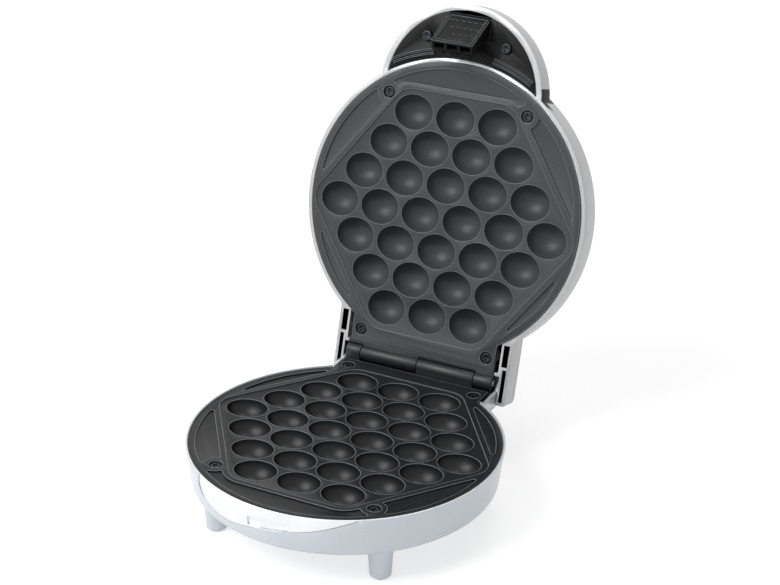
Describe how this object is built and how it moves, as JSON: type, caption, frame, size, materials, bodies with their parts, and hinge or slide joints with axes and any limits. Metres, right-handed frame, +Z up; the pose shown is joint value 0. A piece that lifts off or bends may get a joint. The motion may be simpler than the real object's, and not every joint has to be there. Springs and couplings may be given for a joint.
{
  "type": "waffle maker",
  "caption": "Round electric bubble waffle maker with a hinged lid, two plates of oval cells, a half-moon handle with a latch and short tapered legs.",
  "frame": {"origin": "on the table, under the middle of the bounding box with the lid open", "axes": "+X along the hinge, to the right as seen from the handle side; +Y from the handle side towards the hinge; +Z up"},
  "size_m": [0.2056, 0.294, 0.2916],
  "materials": {
    "silver_paint": "silver metallic paint on moulded plastic",
    "base_silver": "silver metallic paint on moulded plastic",
    "painted_steel": "silver paint on steel plate",
    "black_plastic": "fine-grained black phenolic plastic",
    "non_stick": "cast aluminium with dark non-stick coating",
    "bright_trim": "bright metallised plastic",
    "dark_steel": "blackened steel",
    "zinc_steel": "zinc-plated steel",
    "ceramic": "unglazed ceramic, stood in for by hard plastic",
    "element_sheath": "heat-tinted steel tube",
    "rubber": "black rubber",
    "wire_sleeve": "woven glass sleeve",
    "lens_red": "clear red plastic",
    "lamp_glass": "small neon bulb"
  },
  "bodies": {
    "base": {"lower_housing": "base_silver", "front_panel": "bright_trim", "lower_cooking_plate": "non_stick", "lower_plate_screws": "dark_steel", "lower_plate_spacers": "ceramic", "lower_heating_element": "element_sheath", "lower_heat_shield": "zinc_steel", "thermostat": "ceramic", "base_leads": "wire_sleeve", "terminal_block": "ceramic", "cord_bushing": "black_plastic", "cord_clamp": "black_plastic", "bottom_cover": "painted_steel", "cover_screws": "zinc_steel", "legs": "base_silver", "leg_screws": "dark_steel", "foot_pads": "rubber", "base_hinge_bracket": "black_plastic", "hinge_screws": "zinc_steel", "hinge_pin": "zinc_steel"},
    "lid": {"lid_housing": "silver_paint", "upper_cooking_plate": "non_stick", "upper_plate_screws": "dark_steel", "upper_plate_spacers": "ceramic", "upper_heating_element": "element_sheath", "upper_heat_shield": "zinc_steel", "thermal_fuse": "ceramic", "lid_leads": "wire_sleeve", "lid_hinge_bracket": "black_plastic", "handle_panel": "black_plastic", "handle_panel_screws": "dark_steel", "latch_pin": "zinc_steel", "lamp_lenses": "lens_red", "neon_lamps": "lamp_glass"},
    "latch": {"latch": "black_plastic"}
  },
  "joints": [
    {"name": "lid_hinge", "type": "hinge", "parent": "base", "child": "lid", "pos_m": [0, 0.06518, 0.0523], "axis": [1, 0, 0], "range_deg": [0, 105.6]},
    {"name": "latch_hinge", "type": "hinge", "parent": "lid", "child": "latch", "pos_m": [0, 0.13209, 0.27781], "axis": [1, 0, 0], "range_deg": [0, 12]}
  ]
}
